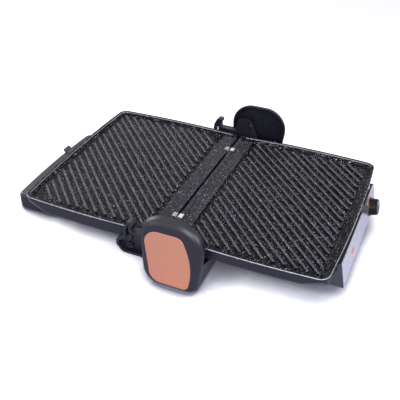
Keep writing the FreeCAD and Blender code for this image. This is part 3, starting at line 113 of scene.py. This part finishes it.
def calc(tree, operation, first, second):
    """A math node on two sockets or numbers."""
    node = tree.nodes.new("ShaderNodeMath")
    node.operation = operation
    for index, item in enumerate((first, second)):
        if isinstance(item, (int, float)):
            node.inputs[index].default_value = item
        else:
            tree.links.new(item, node.inputs[index])
    return node.outputs[0]


def blend_colours(tree, mask, first, second):
    """Mix two colours, each a socket or a plain colour, by a mask."""
    node = tree.nodes.new("ShaderNodeMix")
    node.data_type = "RGBA"
    tree.links.new(mask, node.inputs["Factor"])
    for label, item in (("A", first), ("B", second)):
        socket = next(s for s in node.inputs if s.name == label and s.type == "RGBA")
        if isinstance(item, tuple):
            socket.default_value = (*item, 1.0)
        else:
            tree.links.new(item, socket)
    return next(s for s in node.outputs if s.type == "RGBA")


print("node helpers ready")

# %% [markdown]
# A white background could come from more light, but that would burn out the pale metal. So the room gives
# a weak bluish light, and is plain white only to rays from the camera, reflections and clear materials.

# %% White room
ROOM_LIGHT = (0.86, 0.88, 1.0, 1.0)
ROOM_STRENGTH = 0.14
ROOM_WHITE = (1.0, 1.0, 1.0, 1.0)

world = bpy.data.worlds.new("white_room")
world.use_nodes = True
bpy.context.scene.world = world
room = world.node_tree
room.nodes.clear()
room_light = add(room, "ShaderNodeBackground", strength=ROOM_STRENGTH)
room_light.inputs["Color"].default_value = ROOM_LIGHT
room_white = add(room, "ShaderNodeBackground", strength=1.0)
room_white.inputs["Color"].default_value = ROOM_WHITE
room_path = room.nodes.new("ShaderNodeLightPath")
rays = room_path.outputs
room_seen = calc(room, "MAXIMUM", rays["Is Camera Ray"], rays["Is Transmission Ray"])
room_shown = calc(room, "MAXIMUM", room_seen, rays["Is Glossy Ray"])
room_mix = room.nodes.new("ShaderNodeMixShader")
room.links.new(room_shown, room_mix.inputs["Fac"])
room.links.new(room_light.outputs[0], room_mix.inputs[1])
room.links.new(room_white.outputs[0], room_mix.inputs[2])
room_out = room.nodes.new("ShaderNodeOutputWorld")
room.links.new(room_mix.outputs[0], room_out.inputs["Surface"])
print("room strength:", ROOM_STRENGTH)

# %% [markdown]
# The floor is one large pale sheet. To the camera it is a bright paper with a painted shadow: an ambient
# occlusion node darkens its colour close to the grill, further under the base than under the lid, and far
# away it turns plain white. To every other ray it is a matte pale grey, so it bounces a plain amount of light
# back at the grill.

# %% Pale floor
FLOOR_HALF = 6.0
FLOOR_MATTE = (0.60, 0.60, 0.73, 1.0)
PAPER_SHADED, PAPER_OPEN = (0.29, 0.29, 0.365), (2.0, 2.0, 2.05)
SHADED_AT, OPEN_AT = 0.45, 0.9
# Reach of the painted shadow on the floor: shorter on the lid side, longer on the base side.
LID_SHADOW_REACH, BASE_SHADOW_REACH = 0.028, 0.05
LID_SIDE, BASE_SIDE = -0.05, 0.10
WHITE_FROM, WHITE_AT = 0.6, 1.3

bpy.ops.object.select_all(action="DESELECT")
bpy.ops.mesh.primitive_plane_add(size=FLOOR_HALF * 2, location=(0.0, 0.0, 0.0))
floor = bpy.context.object
floor.name = "pale_floor"
floor_paint = bpy.data.materials.new("pale_floor")
floor_paint.use_nodes = True
tree = floor_paint.node_tree
tree.nodes.clear()
matte = tree.nodes.new("ShaderNodeBsdfDiffuse")
matte.inputs["Color"].default_value = FLOOR_MATTE
on_floor = tree.nodes.new("ShaderNodeTexCoord").outputs["Object"]
spread = tree.nodes.new("ShaderNodeSeparateXYZ")
tree.links.new(on_floor, spread.inputs["Vector"])
# Painted shadow: the paper colour darkens where the ambient occlusion finds the grill close by.
shadow_ao = tree.nodes.new("ShaderNodeAmbientOcclusion")
shadow_reach = remap(tree, spread.outputs["X"], LID_SIDE, BASE_SIDE, LID_SHADOW_REACH, BASE_SHADOW_REACH)
tree.links.new(shadow_reach, shadow_ao.inputs["Distance"])
open_floor = remap(tree, shadow_ao.outputs["AO"], SHADED_AT, OPEN_AT, 0.0, 1.0)
sheet = tree.nodes.new("ShaderNodeBsdfDiffuse")
tree.links.new(blend_colours(tree, open_floor, PAPER_SHADED, PAPER_OPEN), sheet.inputs["Color"])
away = add(tree, "ShaderNodeVectorMath", operation="LENGTH")
tree.links.new(on_floor, away.inputs[0])
paper = tree.nodes.new("ShaderNodeMixShader")
tree.links.new(remap(tree, away.outputs["Value"], WHITE_FROM, WHITE_AT, 0.0, 1.0), paper.inputs["Fac"])
tree.links.new(sheet.outputs[0], paper.inputs[1])
tree.links.new(tree.nodes.new("ShaderNodeEmission").outputs[0], paper.inputs[2])
path = tree.nodes.new("ShaderNodeLightPath")
seen = tree.nodes.new("ShaderNodeMixShader")
tree.links.new(path.outputs["Is Camera Ray"], seen.inputs["Fac"])
tree.links.new(matte.outputs[0], seen.inputs[1])
tree.links.new(paper.outputs[0], seen.inputs[2])
floor_out = tree.nodes.new("ShaderNodeOutputMaterial")
tree.links.new(seen.outputs[0], floor_out.inputs["Surface"])
floor.data.materials.append(floor_paint)
print("floor half side:", FLOOR_HALF)

# %% [markdown]
# Several finishes share the same small effects: the fine grain of moulded plastic, the streaks of brushed
# metal and soft patches where hands or polish changed the gloss. Each effect is a node group
# that is built once and placed in a finish with its own values, so a change reaches every finish.

# %% Shared effects and moulded grain
def effect_group(name, inputs, outputs):
    """An empty shader node group with float inputs and named outputs."""
    group = bpy.data.node_groups.new(name, "ShaderNodeTree")
    for label, value in inputs:
        socket = group.interface.new_socket(label, in_out="INPUT", socket_type="NodeSocketFloat")
        socket.default_value = value
    for label, kind in outputs:
        group.interface.new_socket(label, in_out="OUTPUT", socket_type=kind)
    return group, group.nodes.new("NodeGroupInput"), group.nodes.new("NodeGroupOutput")


def moulded_grain_group():
    """Fine spark-eroded grain and slow patches of gloss."""
    group, start, end = effect_group("moulded_grain", [("Grain Scale", 900.0), ("Patch Scale", 14.0)],
                                     [("Height", "NodeSocketFloat"), ("Patches", "NodeSocketFloat")])
    place = group.nodes.new("ShaderNodeTexCoord").outputs["Object"]
    fine = add(group, "ShaderNodeTexNoise", detail=3.0, roughness=0.6)
    group.links.new(place, fine.inputs["Vector"])
    group.links.new(start.outputs["Grain Scale"], fine.inputs["Scale"])
    pits = group.nodes.new("ShaderNodeTexVoronoi")
    group.links.new(place, pits.inputs["Vector"])
    group.links.new(start.outputs["Grain Scale"], pits.inputs["Scale"])
    height = calc(group, "ADD", fine.outputs["Fac"], calc(group, "MULTIPLY", pits.outputs["Distance"], 0.6))
    group.links.new(height, end.inputs["Height"])
    slow = add(group, "ShaderNodeTexNoise", detail=4.0, roughness=0.55)
    group.links.new(place, slow.inputs["Vector"])
    group.links.new(start.outputs["Patch Scale"], slow.inputs["Scale"])
    group.links.new(remap(group, slow.outputs["Fac"], 0.3, 0.7, 0.0, 1.0), end.inputs["Patches"])
    return group


MOULDED_GRAIN = moulded_grain_group()
print("node group:", MOULDED_GRAIN.name)

# %% [markdown]
# Brushed sheet has long thin streaks. A noise that is squeezed hard across one direction and left long
# along the other gives them, and a second, wider noise breaks up the evenness.

# %% Brushed streaks
def brushed_group():
    """Streaks along Y, as on sheet that was run past an abrasive belt."""
    group, start, end = effect_group("brushed_streaks", [("Across Scale", 2600.0), ("Along Scale", 18.0)],
                                     [("Streaks", "NodeSocketFloat"), ("Wide Streaks", "NodeSocketFloat")])
    place = group.nodes.new("ShaderNodeTexCoord").outputs["Object"]
    scale = group.nodes.new("ShaderNodeCombineXYZ")
    group.links.new(start.outputs["Across Scale"], scale.inputs["X"])
    group.links.new(start.outputs["Along Scale"], scale.inputs["Y"])
    group.links.new(start.outputs["Across Scale"], scale.inputs["Z"])
    stretched = add(group, "ShaderNodeVectorMath", operation="MULTIPLY")
    group.links.new(place, stretched.inputs[0])
    group.links.new(scale.outputs[0], stretched.inputs[1])
    group.links.new(noise(group, stretched.outputs[0], 1.0, 3.0), end.inputs["Streaks"])
    group.links.new(noise(group, stretched.outputs[0], 0.12, 2.0), end.inputs["Wide Streaks"])
    return group


BRUSHED_STREAKS = brushed_group()
print("node group:", BRUSHED_STREAKS.name)

# %% [markdown]
# Every finish starts from the same short recipe: a Principled shader whose plain values are typed on its
# own sockets, and a bump that carries the fine relief.

# %% A finish to start from
def new_finish(name, **values):
    """A material with a Principled shader, its plain values set on the sockets."""
    material = bpy.data.materials.new(name)
    material.use_nodes = True
    tree = material.node_tree
    shader = tree.nodes["Principled BSDF"]
    for label, value in values.items():
        socket = shader.inputs[label.replace("_", " ")]
        socket.default_value = (*value, 1.0) if isinstance(value, tuple) else value
    return material, tree, shader


def relief(tree, shader, height, strength, depth):
    """Bump from a height socket."""
    bump = tree.nodes.new("ShaderNodeBump")
    bump.inputs["Strength"].default_value = strength
    bump.inputs["Distance"].default_value = depth
    tree.links.new(height, bump.inputs["Height"])
    tree.links.new(bump.outputs["Normal"], shader.inputs["Normal"])


def use_group(tree, group, **values):
    """A shared effect placed in a material, with its own values."""
    node = tree.nodes.new("ShaderNodeGroup")
    node.node_tree = group
    for label, value in values.items():
        node.inputs[label.replace("_", " ")].default_value = value
    return node


def dress(material, *names):
    """Give a finish to CAD nodes."""
    for name in names:
        slots = nodes[name].data.materials
        slots.clear()
        slots.append(material)
    print(material.name, "on", ", ".join(names))


print("finish helpers ready")

# %% [markdown]
# The casing, arms and handle are one satin charcoal plastic. Its mould was spark eroded, which leaves a
# fine grain that softens reflections, and it polishes a little unevenly, so the roughness drifts.

# %% Satin charcoal plastic
GRAIN_BUMP, GRAIN_DEPTH = 0.07, 0.0001
PLASTIC_GLOSS = 0.52


def moulded_plastic(name, dark, light, rough_low, rough_high, grain_scale=900.0):
    """Grained plastic whose colour and gloss drift between two values."""
    material, tree, shader = new_finish(name, Specular_IOR_Level=PLASTIC_GLOSS)
    grain = use_group(tree, MOULDED_GRAIN, Grain_Scale=grain_scale, Patch_Scale=14.0)
    patches = grain.outputs["Patches"]
    tree.links.new(blend_colours(tree, patches, dark, light), shader.inputs["Base Color"])
    tree.links.new(remap(tree, patches, 0.0, 1.0, rough_low, rough_high), shader.inputs["Roughness"])
    relief(tree, shader, grain.outputs["Height"], GRAIN_BUMP, GRAIN_DEPTH)
    return material


casing = moulded_plastic("satin_charcoal", (0.0051, 0.0051, 0.0115), (0.0077, 0.0077, 0.0154), 0.36, 0.42)
dress(casing, "base_tray", "lid_tray", "near_hinge_cap", "far_hinge_cap", "near_arm", "far_arm", "lid_cover",
      "handle", "front_feet", "near_float_pin", "far_float_pin")
# Painted light: the shell and bottom cover are a lighter copy of the casing's charcoal plastic, standing in
# for the light the shell's near end catches.
shell_painted_light = moulded_plastic("shell_charcoal_painted_light", (0.0358, 0.0358, 0.0461), (0.0435, 0.0435, 0.0550),
                              0.36, 0.44)
dress(shell_painted_light, "base_shell", "base_bottom_cover")

# %% [markdown]
# The other mouldings are small or hidden: the panel frame, the release tabs, the hinge bushes and the
# electrical bodies. They are the same recipe in other colours, so nothing new has to be built for them.

# %% Plainer plastics
frame_black = moulded_plastic("frame_black", (0.012, 0.012, 0.014), (0.018, 0.018, 0.021), 0.5, 0.6)
dress(frame_black, "panel_frame")
tab_grey = moulded_plastic("tab_grey", (0.035, 0.035, 0.042), (0.046, 0.046, 0.055), 0.32, 0.42)
dress(tab_grey, "base_latch", "lid_latch")
nylon = moulded_plastic("natural_nylon", (0.52, 0.50, 0.44), (0.6, 0.58, 0.52), 0.4, 0.5)
dress(nylon, "near_hinge_bush", "far_hinge_bush")
terminal_white = moulded_plastic("terminal_white", (0.62, 0.62, 0.58), (0.7, 0.7, 0.66), 0.4, 0.5)
dress(terminal_white, "terminal_block")
thermostat_cream = moulded_plastic("thermostat_cream", (0.55, 0.5, 0.4), (0.62, 0.57, 0.47), 0.5, 0.6)
dress(thermostat_cream, "thermostat")

# %% [markdown]
# The plates are cast aluminium under a stone-look non-stick coat: nearly black, with pale specks of
# three sizes scattered in it. An image could carry the specks, but Voronoi cells do it without one, and a
# random number per cell decides which cells carry a speck.

# %% Scattered specks
def speck_layer(tree, place, scale, share, low, high):
    """Scattered specks: a mask of round dots in a share of the cells."""
    cells = tree.nodes.new("ShaderNodeTexVoronoi")
    cells.inputs["Scale"].default_value = scale
    cells.inputs["Randomness"].default_value = 1.0
    tree.links.new(place, cells.inputs["Vector"])
    split = tree.nodes.new("ShaderNodeSeparateColor")
    tree.links.new(cells.outputs["Color"], split.inputs["Color"])
    chosen = calc(tree, "LESS_THAN", split.outputs["Red"], share)
    size = remap(tree, split.outputs["Green"], 0.0, 1.0, low, high)
    dot = calc(tree, "LESS_THAN", cells.outputs["Distance"], size)
    strength = remap(tree, split.outputs["Blue"], 0.0, 1.0, 0.25, 1.0)
    return calc(tree, "MULTIPLY", calc(tree, "MULTIPLY", chosen, dot), strength)


print("speck layer ready")

# %% [markdown]
# The ridge tops and the rim's rounded edge are paler: partly wear of the coat, partly a painted highlight
# where the crests and the edge catch the light. Both are found from the height and place of a point on the
# plate, so the marks stay on the right edges without an image.

# %% Speckled non-stick coat
# Each layer: cells per metre, share of cells with a speck, smallest and largest speck in its cell
SPECK_LAYERS = ((900.0, 0.11, 0.25, 0.42), (520.0, 0.17, 0.2, 0.36), (270.0, 0.15, 0.12, 0.24))
HINGE_X = 0.01437
# Heights and reaches of the paler rim edge, ridge tops and hinge band: partly wear, partly painted highlight.
RIM_HEIGHT, RIM_WEAR_AND_HIGHLIGHT_DEPTH, RIM_FROM_HINGE = 0.066, 0.0011, 0.012
RIDGE_TOP, RIDGE_WEAR_AND_HIGHLIGHT_DEPTH, RIDGE_FULL_WEAR_AND_HIGHLIGHT_DEPTH = 0.0635, 0.0006, 0.00005
RIDGE_REACH, RIDGE_HALF = 0.2140, 0.1343
BAND_REACH, BAND_WEAR_AND_HIGHLIGHT = 0.027, 0.35
RIM_TILTED, RIM_FLAT = 0.85, 0.985
SKIN_BUMP, SKIN_DEPTH = 0.35, 0.00015
COAT_DARK, COAT_LIGHT = (0.0032, 0.0032, 0.0042), (0.0064, 0.0064, 0.0079)
RIDGE_WEAR_AND_HIGHLIGHT, SPECK_PALE, RIM_WEAR_AND_HIGHLIGHT = (0.105, 0.105, 0.125), (0.79, 0.79, 0.87), (0.54, 0.54, 0.59)


def stone_coat():
    """Near-black coat with pale specks; paler ridge tops and rim edge, partly wear and partly painted
    highlight.
    """
    material, tree, shader = new_finish("stone_coat", Specular_IOR_Level=0.11)
    place = tree.nodes.new("ShaderNodeTexCoord").outputs["Object"]
    specks = speck_layer(tree, place, *SPECK_LAYERS[0])
    for layer in SPECK_LAYERS[1:]:
        specks = calc(tree, "MAXIMUM", specks, speck_layer(tree, place, *layer))
    cloud = remap(tree, noise(tree, place, 30.0, 4.0), 0.35, 0.65, 0.0, 1.0)
    ground = blend_colours(tree, cloud, COAT_DARK, COAT_LIGHT)
    facing = tree.nodes.new("ShaderNodeSeparateXYZ")
    tree.links.new(tree.nodes.new("ShaderNodeNewGeometry").outputs["Normal"], facing.inputs["Vector"])
    spot = tree.nodes.new("ShaderNodeSeparateXYZ")
    tree.links.new(place, spot.inputs["Vector"])
    height = spot.outputs["Z"]
    patchy = remap(tree, noise(tree, place, 160.0, 3.0), 0.3, 0.6, 0.6, 1.0)
    from_hinge = calc(tree, "ABSOLUTE", calc(tree, "SUBTRACT", spot.outputs["X"], HINGE_X), 0.0)
    from_middle = calc(tree, "ABSOLUTE", spot.outputs["Y"], 0.0)
    in_dish = calc(tree, "MULTIPLY", calc(tree, "LESS_THAN", from_hinge, RIDGE_REACH),
                   calc(tree, "LESS_THAN", from_middle, RIDGE_HALF))
    band_wear_and_highlight = calc(tree, "MAXIMUM", calc(tree, "GREATER_THAN", from_hinge, BAND_REACH), BAND_WEAR_AND_HIGHLIGHT)
    # Painted highlight and wear: the ridge tops are paler, only a little on the band beside the hinge.
    near_top = remap(tree, height, RIDGE_TOP - RIDGE_WEAR_AND_HIGHLIGHT_DEPTH, RIDGE_TOP - RIDGE_FULL_WEAR_AND_HIGHLIGHT_DEPTH, 0.0, 1.0)
    on_ridge = calc(tree, "MULTIPLY", near_top, calc(tree, "MULTIPLY", in_dish, band_wear_and_highlight))
    ridge_wear_and_highlight = blend_colours(tree, calc(tree, "MULTIPLY", on_ridge, patchy), ground, RIDGE_WEAR_AND_HIGHLIGHT)
    speckled = blend_colours(tree, specks, ridge_wear_and_highlight, SPECK_PALE)
    # Painted highlight and wear: the rim's rounded outer edge, found by its tilt, is paler, away from the
    # hinge.
    at_rim = calc(tree, "MULTIPLY", calc(tree, "GREATER_THAN", height, RIM_HEIGHT - RIM_WEAR_AND_HIGHLIGHT_DEPTH),
                  calc(tree, "GREATER_THAN", from_hinge, RIM_FROM_HINGE))
    tilted = calc(tree, "MULTIPLY", remap(tree, facing.outputs["Z"], RIM_TILTED, RIM_FLAT, 1.0, 0.0), at_rim)
    coat = blend_colours(tree, calc(tree, "MULTIPLY", tilted, patchy), speckled, RIM_WEAR_AND_HIGHLIGHT)
    tree.links.new(coat, shader.inputs["Base Color"])
    rough = remap(tree, noise(tree, place, 60.0, 3.0), 0.3, 0.7, 0.28, 0.42)
    tree.links.new(rough, shader.inputs["Roughness"])
    skin = calc(tree, "ADD", noise(tree, place, 700.0, 3.0), calc(tree, "MULTIPLY", specks, 0.3))
    relief(tree, shader, skin, SKIN_BUMP, SKIN_DEPTH)
    return material


dress(stone_coat(), "base_plate", "lid_plate")

# %% [markdown]
# The control panel is stainless sheet brushed along its length. The clips, pins and inner sheets are
# plainer metals: rolled bright sheet, zinc plate and dark oxidised sheath. Streaks drive the roughness
# a little more than the colour, because that is what brushing changes.

# %% Brushed and plated metals
STREAK_BUMP, STREAK_DEPTH = 0.12, 0.00005


def brushed_metal(name, dark, light, rough_low, rough_high, across=2600.0, along=18.0, metallic=1.0):
    """Streaked metal whose colour and gloss drift between two values."""
    material, tree, shader = new_finish(name, Metallic=metallic)
    streaks = use_group(tree, BRUSHED_STREAKS, Across_Scale=across, Along_Scale=along)
    fine = streaks.outputs["Streaks"]
    wide = remap(tree, streaks.outputs["Wide Streaks"], 0.3, 0.7, 0.0, 1.0)
    tree.links.new(blend_colours(tree, wide, dark, light), shader.inputs["Base Color"])
    tree.links.new(remap(tree, fine, 0.3, 0.7, rough_low, rough_high), shader.inputs["Roughness"])
    relief(tree, shader, fine, STREAK_BUMP, STREAK_DEPTH)
    return material


dress(brushed_metal("panel_steel", (0.90, 0.90, 0.93), (0.97, 0.97, 0.99), 0.24, 0.36), "control_panel")
# The base and lid clips are one metal in a lit and a shaded copy: painted light on the base clips and painted
# shade on the lid clips.
dress(brushed_metal("clip_painted_lit", (0.80, 0.80, 0.80), (0.90, 0.90, 0.88), 0.25, 0.35, metallic=0.35),
      "base_plate_clips")
dress(brushed_metal("clip_painted_shaded", (0.46, 0.45, 0.42), (0.55, 0.54, 0.50), 0.3, 0.4, metallic=0.35),
      "lid_plate_clips")
zinc = brushed_metal("zinc_plate", (0.42, 0.42, 0.43), (0.52, 0.52, 0.52), 0.35, 0.5, 600.0, 90.0)
dress(zinc, "near_hinge_pin", "far_hinge_pin", "thermostat_shaft", "cover_screws", "leg_screws", "cap_screws",
      "base_fuse", "lid_fuse")
dress(brushed_metal("bright_sheet", (0.66, 0.66, 0.68), (0.76, 0.76, 0.77), 0.25, 0.4),
      "base_reflector", "lid_reflector", "base_heater_clamps", "lid_heater_clamps")
dress(brushed_metal("oxidised_sheath", (0.10, 0.09, 0.085), (0.16, 0.145, 0.135), 0.4, 0.6, 500.0, 200.0),
      "base_heater", "lid_heater")
bracket_black = moulded_plastic("bracket_black", (0.015, 0.015, 0.017), (0.022, 0.022, 0.024),
                                0.45, 0.55, 500.0)
dress(bracket_black, "near_hinge_bracket", "far_hinge_bracket")

# %% [markdown]
# The inlays on the hinge covers, the ring at the knob and the strip under the handle are copper-coloured
# anodised sheet. It is satin rather than shiny, so the grain is short and the roughness high.

# %% Copper-coloured sheet
copper = brushed_metal("satin_copper", (0.81, 0.381, 0.232), (0.85, 0.40, 0.248), 0.36, 0.42, 3200.0, 60.0)
dress(copper, "near_badge", "far_badge", "handle_trim")
# Painted shade: the ring at the knob is the same copper sheet in a much darker copy.
dress(brushed_metal("copper_painted_shade", (0.27, 0.13, 0.085), (0.31, 0.15, 0.10), 0.4, 0.5, 3200.0, 60.0),
      "knob_bezel")

# %% [markdown]
# The knob is smooth black plastic. Uneven roughness, as from handling, keeps its gloss from looking perfect.
# The lens is tinted and a little cloudy under a clear coat, and the pads are matt rubber. Real glass could
# be used for the lens, but it is small and dark behind, so a plain tinted surface shows its colour better.

# %% Gloss, lens and rubber
def gloss_black():
    """Smooth black plastic with a little uneven gloss."""
    material, tree, shader = new_finish("gloss_black", Base_Color=(0.007, 0.007, 0.009),
                                        Specular_IOR_Level=0.14)
    grain = use_group(tree, MOULDED_GRAIN, Grain_Scale=300.0, Patch_Scale=60.0)
    tree.links.new(remap(tree, grain.outputs["Patches"], 0.0, 1.0, 0.16, 0.26), shader.inputs["Roughness"])
    return material


def tinted_lens():
    """Red, slightly cloudy plastic under a clear coat."""
    material, tree, shader = new_finish("tinted_lens", Coat_Weight=0.5, Coat_Roughness=0.06)
    grain = use_group(tree, MOULDED_GRAIN, Grain_Scale=400.0, Patch_Scale=120.0)
    patches = grain.outputs["Patches"]
    tint = blend_colours(tree, patches, (0.66, 0.10, 0.05), (0.78, 0.16, 0.09))
    tree.links.new(tint, shader.inputs["Base Color"])
    tree.links.new(remap(tree, patches, 0.0, 1.0, 0.18, 0.28), shader.inputs["Roughness"])
    return material


dress(gloss_black(), "knob")
dress(tinted_lens(), "indicator_lens")
dress(moulded_plastic("pointer_white", (0.7, 0.7, 0.7), (0.78, 0.78, 0.78), 0.3, 0.4), "knob_pointer")
dress(moulded_plastic("lamp_envelope", (0.75, 0.5, 0.3), (0.85, 0.6, 0.4), 0.1, 0.2), "indicator_lamp")
dress(moulded_plastic("pad_rubber", (0.014, 0.014, 0.015), (0.022, 0.022, 0.023), 0.6, 0.75, 700.0),
      "foot_pads", "lid_foot_pads", "cord_gland")

undressed = [name for name, node in nodes.items()
             if not node.data.materials or not node.data.materials[0].use_nodes]
print("nodes without a finish:", undressed)
